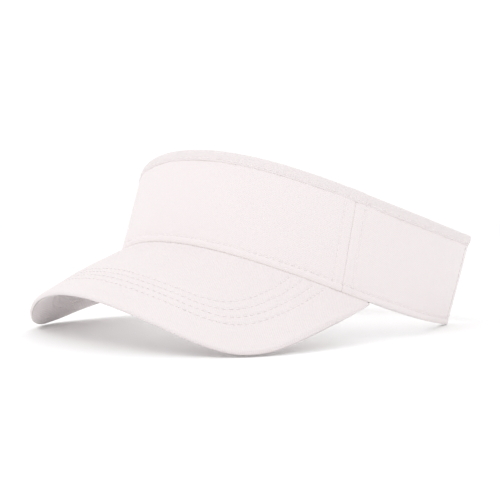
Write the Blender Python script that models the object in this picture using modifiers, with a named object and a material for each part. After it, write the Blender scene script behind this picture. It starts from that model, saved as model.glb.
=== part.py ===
"""Sun visor: a sewn twill band with a curved, row-stitched brim and a hook-and-loop strap across the open back.

Metres, +Z up. The wearer faces -Y and the wearer's left is +X. The visor lies on a table: it rests on the two low
corners of the brim and on the lower back corners of the band, so the whole band leans back by LEAN_DEG.

The band and the brim are worked out in the band's own axes first (band axis up, centre of the oval at the origin) and
every object is then put under one empty, band_frame, that carries the lean and the height above the table.
"""

import math

import bmesh
import bpy
import numpy as np
from mathutils import Matrix, Vector

# ------------------------------------------------------------------ sizes, metres
LEAN_DEG = 20.94          # how far the band leans back when the visor lies on a table

# oval of the band: half length from the front centre to the back hem, and its curvature along that length
HALF_LENGTH = 0.2113
CURVATURE_AT = (0.0, 0.25, 0.5, 0.75, 1.0)
CURVATURE = (9.81, 10.49, 11.36, 6.89, 7.77)     # 1/m
FLARE = 0.022             # the top edge is this share wider than the bottom edge

BAND_HEIGHT = 0.0530      # at the front and at the side seams
HEM_HEIGHT = 0.0564       # at the back hems
ARCH = 0.0069             # the band's edges rise this much over the brim's crown
BACK_RISE = 0.0113        # and this much towards the back hems
SIDE_SEAM = (0.512, 0.488)    # share of HALF_LENGTH where the side seam crosses the bottom and the top edge
HEM_END = (1.0, 1.018)        # the same for the back hem
FLEX_AT = 0.632           # share of HALF_LENGTH of the line that the back part of the side panel flexes on

# layers of the band, from the outside in (distance in from the outer face of the twill)
GAP = 0.0003
TWILL = 0.0009
BUCKRAM = 0.0008
LINING = 0.0007
SWEATBAND = 0.0020
SWEATBAND_HEIGHT = 0.0270
BINDING = 0.0006
BINDING_DROP = 0.0062     # how far the binding reaches down both faces
FLEX_GAP = 0.0012         # slot between two neighbouring bodies, so that they can turn

# brim
BRIM_END = 0.600          # share of HALF_LENGTH where the brim ends on each side
BRIM_TRIM = 0.985         # the brim's side edge, as a share of BRIM_END
BRIM_LENGTH = 0.0623      # at the centre
BRIM_EDGE_POWER = 0.407
BRIM_EDGE_2, BRIM_EDGE_4 = 0.604, 0.579
BRIM_SLOPE = (44.27, 19.70, -31.80)     # degrees below the band's edge plane: constant, u^2 and u^4 terms
BRIM_FAN = (0.096, 0.053)               # how much the brim's ruling lines turn outwards
BRIM_LIFT = 0.0020        # the stack is centred on the brim's surface at its edge and hangs under it at the band
COVER = 0.0008
BOARD = 0.0018
BOARD_INSET = 0.0030
ROW_INSET = (0.0255, 0.0217, 0.0179, 0.0141)      # rows of stitching: distance back from the brim's edge
ROW_WIDTH = (0.644, 0.692, 0.740, 0.788)          # and where each row meets the band, as a share of BRIM_END
ROW_SQUARE = 10.5                                 # how square the rows' corners are
ROW_THREAD = 0.0010

# strap across the back
STRAP_LOW, STRAP_HIGH = 0.0280, 0.0534   # heights above the band's bottom plane
STRAP = 0.0016
PAD = 0.0010
STRAP_FLAT = 0.0470       # the straps are flat for |x| below this
STRAP_BACK = 0.0893       # y of the plane that the two straps slide along
STRAP_STEP = 0.0024       # each strap's middle stands this far from that plane
STRAP_START_IN = 0.0040   # the strap starts this far inside the outer face of the hem
LEFT_STRAP_END = -0.0220
RIGHT_TAB_ROOT = -0.0150
RIGHT_TAB_END = 0.0270
LOOP_PAD = (-0.0205, 0.0420)
HOOK_PAD = (-0.0110, 0.0255)

WHITE_TWILL = (0.86, 0.80, 0.805)


# ------------------------------------------------------------------ start from an empty scene
for o in list(bpy.data.objects):
    bpy.data.objects.remove(o, do_unlink=True)

visor = bpy.data.collections.new("sun_visor")
bpy.context.scene.collection.children.link(visor)


def between(lo, hi, n):
    return [lo + (hi - lo) * i / n for i in range(n + 1)]


# ------------------------------------------------------------------ the band's oval
def oval_table(n=801):
    """Integrates the curvature into share, x, y and heading along one half of the oval."""
    s = np.linspace(0.0, 1.0, n)
    k = np.interp(s, CURVATURE_AT, CURVATURE)
    step = HALF_LENGTH / (n - 1)
    heading = np.concatenate([[0.0], np.cumsum((k[1:] + k[:-1]) / 2) * step])
    c, d = np.cos(heading), np.sin(heading)
    x = np.concatenate([[0.0], np.cumsum((c[1:] + c[:-1]) / 2) * step])
    y = np.concatenate([[0.0], np.cumsum((d[1:] + d[:-1]) / 2) * step])
    return s, x, y - y[-1] / 2, heading


OVAL = oval_table()


def oval(share):
    """Point and heading of the oval at a signed share of its half length (+ is the wearer's left)."""
    s, xs, ys, hs = OVAL
    a = abs(share)
    sign = 1.0 if share >= 0 else -1.0
    over = max(a - 1.0, 0.0) * HALF_LENGTH
    h = float(np.interp(a, s, hs))
    x = float(np.interp(a, s, xs)) + over * math.cos(h)
    y = float(np.interp(a, s, ys)) + over * math.sin(h)
    return sign * x, y, sign * h


def edge_height(share):
    """Height of the band's bottom edge over the band's bottom plane."""
    a = abs(share)
    arch = ARCH * math.cos(min(a / BRIM_END, 1.0) * math.pi / 2) ** 2
    back = BACK_RISE * (max(a - 0.55, 0.0) / 0.45) ** 2
    return arch + back


def band_height(share):
    a = abs(share)
    t = min(max((a - SIDE_SEAM[0]) / (1 - SIDE_SEAM[0]), 0.0), 1.2)
    return BAND_HEIGHT + (HEM_HEIGHT - BAND_HEIGHT) * t


def on_band(share, up, inward):
    """A point of the band: up is measured from its bottom edge, inward from the outer face of the twill."""
    x, y, h = oval(share)
    wide = 1.0 + FLARE * up / band_height(share)
    z = edge_height(share) + up
    return Vector((x * wide - math.sin(h) * inward, y * wide + math.cos(h) * inward, z))


# ------------------------------------------------------------------ the brim's surface
def brim_reach(u):
    return BRIM_LENGTH * max(1 - u * u, 1e-9) ** BRIM_EDGE_POWER * (1 + BRIM_EDGE_2 * u * u + BRIM_EDGE_4 * u**4)


def brim_line(u):
    """Root point and direction of the brim's ruling line at u, from -1 to 1 across the brim."""
    share = u * BRIM_END
    x, y, h = oval(share)
    turn = BRIM_FAN[0] * h + BRIM_FAN[1] * u**3
    down = math.radians(BRIM_SLOPE[0] + BRIM_SLOPE[1] * u * u + BRIM_SLOPE[2] * u**4)
    root = Vector((x, y, edge_height(share)))
    ray = Vector((math.sin(turn) * math.cos(down), -math.cos(turn) * math.cos(down), -math.sin(down)))
    return root, ray


def brim_plain(u, reach):
    root, ray = brim_line(u)
    return root + ray * reach


def brim_normal(u, reach):
    e = 1e-3
    across = brim_plain(u + e, reach) - brim_plain(u - e, reach)
    ray = brim_line(u)[1]
    n = across.cross(ray)
    n.normalize()
    return n if n.z > 0 else -n


def on_brim(u, reach, under):
    """A point of the brim: reach is measured out from the band, under is measured down from the top face."""
    lift = BRIM_LIFT * min(reach / 0.030, 1.0)
    return brim_plain(u, reach) + brim_normal(u, reach) * (lift - under)


def row_reach(k, u):
    return (brim_reach(u) - ROW_INSET[k]) * math.sqrt(max(1 - abs(u / ROW_WIDTH[k]) ** ROW_SQUARE, 0.0))


def brim_row(k, n=27):
    """A row of stitching, from one end at the band round to the other, with its points evenly spaced."""
    flat = [a * 0.7 * ROW_WIDTH[k] for a in between(-1.0, 1.0, 60)]
    bend = [ROW_WIDTH[k] * (1 - 0.3 * (1 - v) ** 3) for v in between(0.0, 0.9999, 80)]
    us = [-u for u in reversed(bend)] + flat[1:-1] + bend
    dense = [on_brim(u, row_reach(k, u), -(ROW_THREAD / 2 + GAP)) for u in us if row_reach(k, u) > 0.0016]
    along = [0.0]
    for a, b in zip(dense, dense[1:]):
        along.append(along[-1] + (b - a).length)
    xyz = [np.interp([along[-1] * i / (n - 1) for i in range(n)], along, [p[c] for p in dense]) for c in range(3)]
    return [Vector(p) for p in zip(*xyz)]


# ------------------------------------------------------------------ the strap's plan
def strap_path(side, step, n_arc=7):
    """Plan points of a strap's middle from its hinge at the hem to its flat part; side is +1 left, -1 right."""
    x0, y0 = hinge_at_hem(side)
    dx = abs(x0) - STRAP_FLAT
    dy = STRAP_BACK + step - y0
    turn = 2 * math.atan2(dy, dx)
    radius = dx / math.sin(turn)
    pts = []
    for i in range(n_arc + 1):
        a = turn * (1 - i / n_arc)
        pts.append((side * (STRAP_FLAT + radius * math.sin(a)), y0 + dy - radius * (1 - math.cos(a))))
    return pts


def hinge_at_hem(side):
    p = on_band(side * 1.0, 0.5 * (STRAP_LOW + STRAP_HIGH) - edge_height(1.0), STRAP_START_IN)
    return p.x, p.y


# ------------------------------------------------------------------ building blocks
def material(name, colour, roughness, metallic=0.0):
    m = bpy.data.materials.new(name)
    m.use_nodes = True
    b = m.node_tree.nodes["Principled BSDF"]
    b.inputs["Base Color"].default_value = (*colour, 1.0)
    b.inputs["Roughness"].default_value = roughness
    b.inputs["Metallic"].default_value = metallic
    m.diffuse_color = (*colour, 1.0)
    return m


band_frame = bpy.data.objects.new("band_frame", None)
visor.objects.link(band_frame)


def place(obj, mat, origin=(0.0, 0.0, 0.0)):
    """Names its material, sets its origin on its joint axis and puts it under the band's frame."""
    obj.data.materials.append(mat)
    if obj.type == "MESH":
        obj.data.transform(Matrix.Translation(-Vector(origin)))
        for p in obj.data.polygons:
            p.use_smooth = True
    visor.objects.link(obj)
    obj.parent = band_frame
    obj.location = origin
    return obj


def skin(name, rows, thickness, mat, origin=(0.0, 0.0, 0.0)):
    """A shell: an open surface through rows of points, thickened to both sides with Solidify."""
    bm = bmesh.new()
    grid = [[bm.verts.new(p) for p in row] for row in rows]
    for a, b in zip(grid, grid[1:]):
        for i in range(len(a) - 1):
            bm.faces.new((a[i], a[i + 1], b[i + 1], b[i]))
    bmesh.ops.recalc_face_normals(bm, faces=bm.faces)
    mesh = bpy.data.meshes.new(name)
    bm.to_mesh(mesh)
    bm.free()
    obj = place(bpy.data.objects.new(name, mesh), mat, origin)
    s = obj.modifiers.new("thickness", "SOLIDIFY")
    s.thickness = thickness
    s.offset = 0.0
    s.use_even_offset = True
    s.use_rim = True
    return obj


def thread(name, points, diameter, mat):
    """A thin tube along the points: a poly spline with a bevel and filled caps."""
    curve = bpy.data.curves.new(name, "CURVE")
    curve.dimensions = "3D"
    spline = curve.splines.new("POLY")
    spline.points.add(len(points) - 1)
    for q, p in zip(spline.points, points):
        q.co = (*p, 1.0)
    curve.bevel_depth = diameter / 2
    curve.bevel_resolution = 2
    curve.use_fill_caps = True
    obj = bpy.data.objects.new(name, curve)
    return place(obj, mat)


def band_skin(name, start, end, low, high, inward, thickness, n_along, n_up, mat, origin=(0.0, 0.0, 0.0)):
    """A layer of the band. start and end are (bottom share, top share); low and high are heights over the bottom edge."""
    rows = []
    for v in between(0.0, 1.0, n_up):
        a, b = start[0] + (start[1] - start[0]) * v, end[0] + (end[1] - end[0]) * v
        rows.append([on_band(s, low + (high(s) - low) * v, inward + thickness / 2) for s in between(a, b, n_along)])
    return skin(name, rows, thickness, mat, origin)


def binding(name, start, end, n_along, mat, origin=(0.0, 0.0, 0.0)):
    """The strip folded over the top edge: an open U section carried along the edge, then thickened."""
    inner = TWILL + BUCKRAM + LINING + 3 * GAP
    half = (inner + 2 * GAP) / 2 - GAP + BINDING / 2 + GAP / 2
    middle = (inner - GAP) / 2
    section = [(middle - half, -BINDING_DROP)]
    for i in range(7):
        a = math.pi * i / 6
        section.append((middle - half * math.cos(a), -half - BINDING / 2 + half * math.sin(a)))
    section.append((middle + half, -BINDING_DROP))
    rows = [[on_band(s, band_height(s) + up, inward) for s in between(start, end, n_along)] for inward, up in section]
    return skin(name, rows, BINDING, mat, origin)


def strap_skin(name, plan, low, high, thickness, mat, origin=(0.0, 0.0, 0.0)):
    rows = [[Vector((x, y, z)) for x, y in plan] for z in between(low, high, 2)]
    return skin(name, rows, thickness, mat, origin)


# ------------------------------------------------------------------ materials
twill = material("twill", WHITE_TWILL, 0.92)
facing = material("facing", (0.84, 0.80, 0.79), 0.94)
stiffener = material("stiffener", (0.78, 0.76, 0.72), 0.85)
terry = material("terry", (0.85, 0.81, 0.80), 0.97)
tape = material("tape", (0.83, 0.80, 0.79), 0.90)
plastic = material("board", (0.80, 0.80, 0.78), 0.45)
sewing = material("thread", (0.84, 0.79, 0.79), 0.70)
loops = material("loop_pad", (0.88, 0.87, 0.86), 0.98)
hooks = material("hook_pad", (0.82, 0.82, 0.81), 0.50)

# ------------------------------------------------------------------ front of the band (root body)
TOP_ROOM = 0.0021         # the layers stop this far under the top of the binding
FLEX_HALF = FLEX_GAP / 2 / HALF_LENGTH


def panel_top(share):
    return band_height(share) - TOP_ROOM


SEAM_HALF = GAP / 2 / HALF_LENGTH
seam_l = (SIDE_SEAM[0], SIDE_SEAM[1])
seam_r = (-SIDE_SEAM[0], -SIDE_SEAM[1])
d_buckram = TWILL + GAP
d_lining = d_buckram + BUCKRAM + GAP
d_sweat = d_lining + LINING + GAP

band_skin("front_panel", (seam_r[0] + SEAM_HALF, seam_r[1] + SEAM_HALF), (seam_l[0] - SEAM_HALF, seam_l[1] - SEAM_HALF),
          GAP, panel_top, 0.0, TWILL, 36, 4, twill)
band_skin("front_buckram", (seam_r[0] + 0.01, seam_r[1] + 0.01), (seam_l[0] - 0.01, seam_l[1] - 0.01),
          GAP, panel_top, d_buckram, BUCKRAM, 32, 3, stiffener)
band_skin("front_lining", (-FLEX_AT + FLEX_HALF,) * 2, (FLEX_AT - FLEX_HALF,) * 2,
          GAP, panel_top, d_lining, LINING, 40, 3, facing)
band_skin("sweatband_front", (-FLEX_AT + FLEX_HALF,) * 2, (FLEX_AT - FLEX_HALF,) * 2,
          2 * GAP, lambda s: SWEATBAND_HEIGHT, d_sweat, SWEATBAND, 40, 2, terry)
binding("top_binding_front", -FLEX_AT + FLEX_HALF, FLEX_AT - FLEX_HALF, 44, tape)
for side, word in ((1, "left"), (-1, "right")):
    a = (side * (SIDE_SEAM[0] + SEAM_HALF), side * (SIDE_SEAM[1] + SEAM_HALF))
    b = (side * (FLEX_AT - FLEX_HALF),) * 2
    band_skin("side_panel_fore_" + word, a, b, GAP, panel_top, 0.0, TWILL, 7, 4, twill)

# ------------------------------------------------------------------ brim (root body)
SPREAD = [BRIM_TRIM * math.sin(math.pi / 2 * a) for a in between(-1.0, 1.0, 44)]


def brim_skin(name, root_gap, inset, under, thickness, n_out, trim, mat):
    rows = []
    for v in between(0.0, 1.0, n_out):
        v = 1 - (1 - v) ** 1.35
        row = []
        for u in SPREAD:
            u *= trim
            far = brim_reach(u) - inset
            row.append(on_brim(u, root_gap + (far - root_gap) * v, under + thickness / 2))
        rows.append(row)
    return skin(name, rows, thickness, mat)


brim_skin("brim_top_cover", 0.0006, 0.0, 0.0, COVER, 9, 1.0, twill)
brim_skin("brim_board", 0.0012, BOARD_INSET, COVER + GAP, BOARD, 8, 0.985, plastic)
brim_skin("brim_bottom_cover", 0.0006, 0.0, COVER + BOARD + 2 * GAP, COVER, 9, 1.0, twill)
for k in range(4):
    thread("brim_stitch_row_%d" % (k + 1), brim_row(k), ROW_THREAD, sewing)

# ------------------------------------------------------------------ back part of each side (wing bodies)
for side, word in ((1, "left"), (-1, "right")):
    flex = on_band(side * FLEX_AT, 0.0, 0.0022)
    pivot = (flex.x, flex.y, 0.0)
    a = (side * (FLEX_AT + FLEX_HALF),) * 2
    b = (side * HEM_END[0], side * HEM_END[1])
    band_skin("side_panel_" + word, a, b, GAP, panel_top, 0.0, TWILL, 14, 4, twill, pivot)
    band_skin("side_lining_" + word, a, (b[0] - side * 0.004, b[1] - side * 0.004), GAP * 2, panel_top, d_lining, LINING, 14, 3, facing, pivot)
    band_skin("sweatband_" + word, a, (side * 0.905,) * 2, 2 * GAP, lambda s: SWEATBAND_HEIGHT, d_sweat, SWEATBAND, 10, 2, terry, pivot)
    binding("top_binding_" + word, a[0], side * (HEM_END[1] - 0.0005), 14, tape, pivot)
    rows = [[on_band(side * s, z - edge_height(s), STRAP_START_IN) for s in between(0.925, 1.0 - FLEX_HALF, 3)]
            for z in between(STRAP_LOW, STRAP_HIGH, 2)]
    skin("strap_anchor_" + word, rows, STRAP - 0.0002, twill, pivot)

# ------------------------------------------------------------------ straps
for side, word in ((1, "left"), (-1, "right")):
    x0, y0 = hinge_at_hem(side)
    plan = strap_path(side, -side * STRAP_STEP)
    # the strap starts just past the slot at its hinge
    (xa, ya), (xb, yb) = plan[0], plan[1]
    k = (FLEX_GAP / 2 + 0.0003) / math.hypot(xb - xa, yb - ya)
    plan[0] = (xa + (xb - xa) * k, ya + (yb - ya) * k)
    end = LEFT_STRAP_END if side > 0 else RIGHT_TAB_ROOT - FLEX_GAP / 2
    flat_y = plan[-1][1]
    plan += [(x, flat_y) for x in between(plan[-1][0], end, 4)[1:]]
    strap_skin(word + "_strap", plan, STRAP_LOW, STRAP_HIGH, STRAP, twill, (x0, y0, 0.0))
    if side > 0:
        y = STRAP_BACK - STRAP_STEP + STRAP / 2 + GAP + PAD / 2
        strap_skin("loop_pad", [(x, y) for x in between(LOOP_PAD[1], LOOP_PAD[0], 3)],
                   STRAP_LOW + 0.002, STRAP_HIGH - 0.002, PAD, loops, (x0, y0, 0.0))

tab_y = STRAP_BACK + STRAP_STEP
tab_pivot = (RIGHT_TAB_ROOT, tab_y + STRAP / 2, 0.0)
strap_skin("hook_tab", [(x, tab_y) for x in between(RIGHT_TAB_ROOT + FLEX_GAP / 2, RIGHT_TAB_END, 3)],
           STRAP_LOW, STRAP_HIGH, STRAP, twill, tab_pivot)
strap_skin("hook_pad", [(x, tab_y - STRAP / 2 - GAP - PAD / 2) for x in between(HOOK_PAD[0], HOOK_PAD[1], 3)],
           STRAP_LOW + 0.002, STRAP_HIGH - 0.002, PAD, hooks, tab_pivot)

# ------------------------------------------------------------------ lean the band back and set the visor on the table
lean = Matrix.Rotation(-math.radians(LEAN_DEG), 4, "X")
band_frame.matrix_world = lean
bpy.context.view_layer.update()
deps = bpy.context.evaluated_depsgraph_get()
low = Vector((1e9,) * 3)
high = Vector((-1e9,) * 3)
for o in visor.objects:
    if o.type in {"MESH", "CURVE"}:
        e = o.evaluated_get(deps)
        mesh = e.to_mesh()
        for v in mesh.vertices:
            p = e.matrix_world @ v.co
            low = Vector(map(min, low, p))
            high = Vector(map(max, high, p))
        e.to_mesh_clear()
shift = Vector((-(low.x + high.x) / 2, -(low.y + high.y) / 2, -low.z))
band_frame.matrix_world = Matrix.Translation(shift) @ lean
bpy.context.view_layer.update()
print("visor size", tuple(round(v, 4) for v in (high - low)), "frame at", tuple(round(v, 5) for v in shift))
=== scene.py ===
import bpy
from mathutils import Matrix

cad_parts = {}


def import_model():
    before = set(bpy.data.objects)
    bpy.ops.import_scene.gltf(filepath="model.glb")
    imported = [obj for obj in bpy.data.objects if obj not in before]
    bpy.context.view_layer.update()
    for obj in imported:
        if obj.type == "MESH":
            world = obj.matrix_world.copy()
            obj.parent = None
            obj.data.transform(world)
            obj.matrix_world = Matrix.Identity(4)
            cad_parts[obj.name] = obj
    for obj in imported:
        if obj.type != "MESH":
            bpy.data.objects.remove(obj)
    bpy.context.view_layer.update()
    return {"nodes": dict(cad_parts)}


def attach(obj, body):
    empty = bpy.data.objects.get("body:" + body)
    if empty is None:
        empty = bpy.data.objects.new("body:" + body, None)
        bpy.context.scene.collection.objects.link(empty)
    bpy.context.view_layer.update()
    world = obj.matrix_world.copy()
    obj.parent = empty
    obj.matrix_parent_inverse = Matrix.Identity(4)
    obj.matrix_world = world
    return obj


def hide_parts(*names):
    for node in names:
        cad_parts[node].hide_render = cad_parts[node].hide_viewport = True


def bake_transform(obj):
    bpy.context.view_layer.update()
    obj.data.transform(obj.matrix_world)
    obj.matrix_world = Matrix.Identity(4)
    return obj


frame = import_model()

import math

import bpy
import numpy as np
from mathutils import Matrix, Vector
from mathutils.kdtree import KDTree

MM = 0.001
rng = np.random.default_rng(7)

# ================================================================== the visor's shape, as in the CAD
LEAN = math.radians(20.94)
SHIFT = np.array([0.0, 0.01108, 0.016775])
HALF_LENGTH = 0.2113
CURVATURE_AT = (0.0, 0.25, 0.5, 0.75, 1.0)
CURVATURE = (9.81, 10.49, 11.36, 6.89, 7.77)
FLARE = 0.022
BAND_HEIGHT, HEM_HEIGHT = 0.0530, 0.0564
ARCH, BACK_RISE = 0.0069, 0.0113
SIDE_SEAM = (0.512, 0.488)
HEM_END = (1.0, 1.018)
FLEX_AT = 0.632
BRIM_END, BRIM_TRIM, BRIM_LENGTH = 0.600, 0.985, 0.0623
BRIM_EDGE_POWER, BRIM_EDGE_2, BRIM_EDGE_4 = 0.407, 0.604, 0.579
BRIM_SLOPE = (44.27, 19.70, -31.80)
BRIM_FAN = (0.096, 0.053)
BRIM_LIFT = 0.0020
ROW_INSET = (0.0255, 0.0217, 0.0179, 0.0141)
ROW_WIDTH = (0.644, 0.692, 0.740, 0.788)
ROW_SQUARE = 10.5
STRAP_LOW, STRAP_HIGH = 0.0280, 0.0534
STRAP_FLAT, STRAP_BACK, STRAP_STEP, STRAP_IN = 0.0470, 0.0893, 0.0024, 0.0040
TAB_ROOT, TAB_END, LEFT_END = -0.0150, 0.0270, -0.0220


def oval_table(n=2001):
    s = np.linspace(0.0, 1.0, n)
    k = np.interp(s, CURVATURE_AT, CURVATURE)
    step = HALF_LENGTH / (n - 1)
    h = np.concatenate([[0.0], np.cumsum((k[1:] + k[:-1]) / 2) * step])
    c, d = np.cos(h), np.sin(h)
    x = np.concatenate([[0.0], np.cumsum((c[1:] + c[:-1]) / 2) * step])
    y = np.concatenate([[0.0], np.cumsum((d[1:] + d[:-1]) / 2) * step])
    return s, x, y - y[-1] / 2, h


OVAL = oval_table()


def oval(share):
    s, xs, ys, hs = OVAL
    a = np.abs(share)
    sign = np.where(np.asarray(share) >= 0, 1.0, -1.0)
    over = np.maximum(a - 1.0, 0.0) * HALF_LENGTH
    h = np.interp(a, s, hs)
    return sign * (np.interp(a, s, xs) + over * np.cos(h)), np.interp(a, s, ys) + over * np.sin(h), sign * h


def edge_height(share):
    a = np.abs(share)
    return ARCH * np.cos(np.minimum(a / BRIM_END, 1.0) * math.pi / 2) ** 2 + BACK_RISE * (np.maximum(a - 0.55, 0.0) / 0.45) ** 2


def band_height(share):
    t = np.clip((np.abs(share) - SIDE_SEAM[0]) / (1 - SIDE_SEAM[0]), 0.0, 1.2)
    return BAND_HEIGHT + (HEM_HEIGHT - BAND_HEIGHT) * t


def on_band(share, up, inward):
    """Points of the band in its own axes: up from the bottom edge, inward from the twill's outer face."""
    share, up, inward = np.broadcast_arrays(np.asarray(share, float), np.asarray(up, float), np.asarray(inward, float))
    x, y, h = oval(share)
    wide = 1.0 + FLARE * up / band_height(share)
    return np.stack([x * wide - np.sin(h) * inward, y * wide + np.cos(h) * inward, edge_height(share) + up], -1)


def world(p):
    p = np.asarray(p, float)
    c, s = math.cos(LEAN), math.sin(LEAN)
    return np.stack([p[..., 0], p[..., 1] * c + p[..., 2] * s, -p[..., 1] * s + p[..., 2] * c], -1) + SHIFT


def turn_only(n):
    return world(n) - SHIFT


def brim_reach(u):
    return BRIM_LENGTH * np.maximum(1 - u * u, 1e-9) ** BRIM_EDGE_POWER * (1 + BRIM_EDGE_2 * u * u + BRIM_EDGE_4 * u**4)


def brim_line(u):
    share = u * BRIM_END
    x, y, h = oval(share)
    turn = BRIM_FAN[0] * h + BRIM_FAN[1] * u**3
    down = np.radians(BRIM_SLOPE[0] + BRIM_SLOPE[1] * u * u + BRIM_SLOPE[2] * u**4)
    root = np.stack([x, y, edge_height(share)], -1)
    ray = np.stack([np.sin(turn) * np.cos(down), -np.cos(turn) * np.cos(down), -np.sin(down)], -1)
    return root, ray


def brim_plain(u, reach):
    root, ray = brim_line(u)
    return root + ray * np.asarray(reach)[..., None]


def brim_normal(u, reach):
    e = 1e-3
    across = brim_plain(u + e, reach) - brim_plain(u - e, reach)
    n = np.cross(across, brim_line(u)[1])
    n /= np.linalg.norm(n, axis=-1, keepdims=True)
    return np.where(n[..., 2:] > 0, n, -n)


def on_brim(u, reach, under):
    u, reach, under = np.broadcast_arrays(np.asarray(u, float), np.asarray(reach, float), np.asarray(under, float))
    lift = BRIM_LIFT * np.minimum(reach / 0.030, 1.0)
    # the lift's corner is rounded, so that no crease shows across the brim
    t = reach / 0.030
    lift = np.where(np.abs(t - 1) < 0.3, BRIM_LIFT * (1 - (1.3 - np.minimum(t, 1.3)) ** 2 / 1.2), lift)
    return brim_plain(u, reach) + brim_normal(u, reach) * (lift - under)[..., None]


def row_reach(k, u):
    return (brim_reach(u) - ROW_INSET[k]) * np.sqrt(np.maximum(1 - np.abs(u / ROW_WIDTH[k]) ** ROW_SQUARE, 0.0))


def row_line(k, step=0.00025):
    """(u, reach) along a row of stitching, evenly spaced, from one end at the band round to the other."""
    w = ROW_WIDTH[k]
    flat = np.linspace(-0.7 * w, 0.7 * w, 400)[1:-1]
    bend = w * (1 - 0.3 * (1 - np.linspace(0, 0.99995, 600)) ** 3)
    us = np.concatenate([-bend[::-1], flat, bend])
    rs = row_reach(k, us)
    keep = rs > 0.0019
    us, rs = us[keep], rs[keep]
    p = on_brim(us, rs, 0.0)
    a = np.concatenate([[0], np.cumsum(np.linalg.norm(np.diff(p, axis=0), axis=1))])
    t = np.linspace(0, a[-1], int(a[-1] / step))
    return np.interp(t, a, us), np.interp(t, a, rs), t


def hinge(side):
    return on_band(side * 1.0, 0.5 * (STRAP_LOW + STRAP_HIGH) - edge_height(1.0), STRAP_IN)[:2]


def strap_plan(side, step, end):
    """Evenly spaced plan points of a strap: along the inside of the hem, round the bend, then flat to x = end."""
    sh = side * np.linspace(0.925, 1.0, 20)
    anchor = on_band(sh, 0.5 * (STRAP_LOW + STRAP_HIGH) - edge_height(sh), STRAP_IN)[:, :2]
    x0, y0 = hinge(side)
    dx, dy = abs(x0) - STRAP_FLAT, STRAP_BACK + step - y0
    turn = 2 * math.atan2(dy, dx)
    radius = dx / math.sin(turn)
    a = turn * (1 - np.linspace(0, 1, 40))
    arc = np.stack([side * (STRAP_FLAT + radius * np.sin(a)), y0 + dy - radius * (1 - np.cos(a))], -1)
    flat = np.stack([np.linspace(arc[-1, 0], end, 40), np.full(40, arc[-1, 1])], -1)
    p = np.concatenate([anchor[:-1], arc, flat[1:]])
    d = np.concatenate([[0], np.cumsum(np.linalg.norm(np.diff(p, axis=0), axis=1))])
    return p, d, d[len(anchor) - 1]


# ================================================================== small numeric helpers
def ticks(length, step, fine=(), ends=()):
    """Sorted positions from 0 to length: step apart, with closer ones (centre, half width, step) and given ones at both ends."""
    out = [np.linspace(0, length, max(int(round(length / step)), 1) + 1)]
    for c, w, s in fine:
        out.append(np.arange(max(c - w, 0), min(c + w, length) + 1e-9, s))
    e = np.asarray(ends, float)
    out += [e, length - e]
    v = np.unique(np.round(np.concatenate(out), 7))
    keep = [v[0]]
    for x in v[1:]:
        if x - keep[-1] > 0.00004:
            keep.append(x)
    keep[-1] = length
    return np.array(keep)


def waves(seed, x, y, scale, octaves=3):
    """Smooth pseudo-noise, about -1 to 1, of two coordinates in metres; scale is the size of its largest lumps."""
    r = np.random.default_rng(seed)
    total, amount = np.zeros(np.broadcast(x, y).shape), 0.0
    for o in range(octaves):
        k = 2 * math.pi / (scale / 2**o)
        for _ in range(5):
            a, ph, f = r.uniform(0, math.pi), r.uniform(0, 2 * math.pi), r.uniform(0.6, 1.3)
            total = total + 0.5**o * np.sin(k * f * (x * math.cos(a) + y * math.sin(a)) + ph)
        amount += 0.5**o * 5
    return total / (amount * 0.45)


def normals(p, flip=False):
    du = np.gradient(p, axis=1)
    dv = np.gradient(p, axis=0)
    n = np.cross(du, dv)
    n /= np.maximum(np.linalg.norm(n, axis=-1, keepdims=True), 1e-12)
    return -n if flip else n


ROUND_MARKS = (0.0, 0.00005, 0.00018, 0.0004)


def edge_profile(dist, t):
    """Half thickness near a free edge: a rounded edge at dist 0."""
    q = np.clip(dist / (t * 0.45), 0, 1)
    return 0.5 * t * np.sqrt(np.maximum(1 - (1 - q) ** 2, 0.02))


def make_object(name, verts, faces, uv, mat):
    """uv is one pair a vertex. Faces are quads given as an array."""
    me = bpy.data.meshes.new(name)
    verts = np.ascontiguousarray(verts, np.float32)
    faces = np.ascontiguousarray(faces, np.int32)
    me.vertices.add(len(verts))
    me.vertices.foreach_set("co", verts.ravel())
    me.loops.add(faces.size)
    me.loops.foreach_set("vertex_index", faces.ravel())
    me.polygons.add(len(faces))
    me.polygons.foreach_set("loop_start", np.arange(0, faces.size, 4, dtype=np.int32))
    me.polygons.foreach_set("use_smooth", np.ones(len(faces), dtype=bool))
    me.update(calc_edges=True)
    layer = me.uv_layers.new(name="cloth")
    layer.data.foreach_set("uv", np.asarray(uv, np.float32)[faces.ravel()].ravel())
    me.validate()
    me.materials.append(mat)
    o = bpy.data.objects.new(name, me)
    bpy.context.scene.collection.objects.link(o)
    return o


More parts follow.
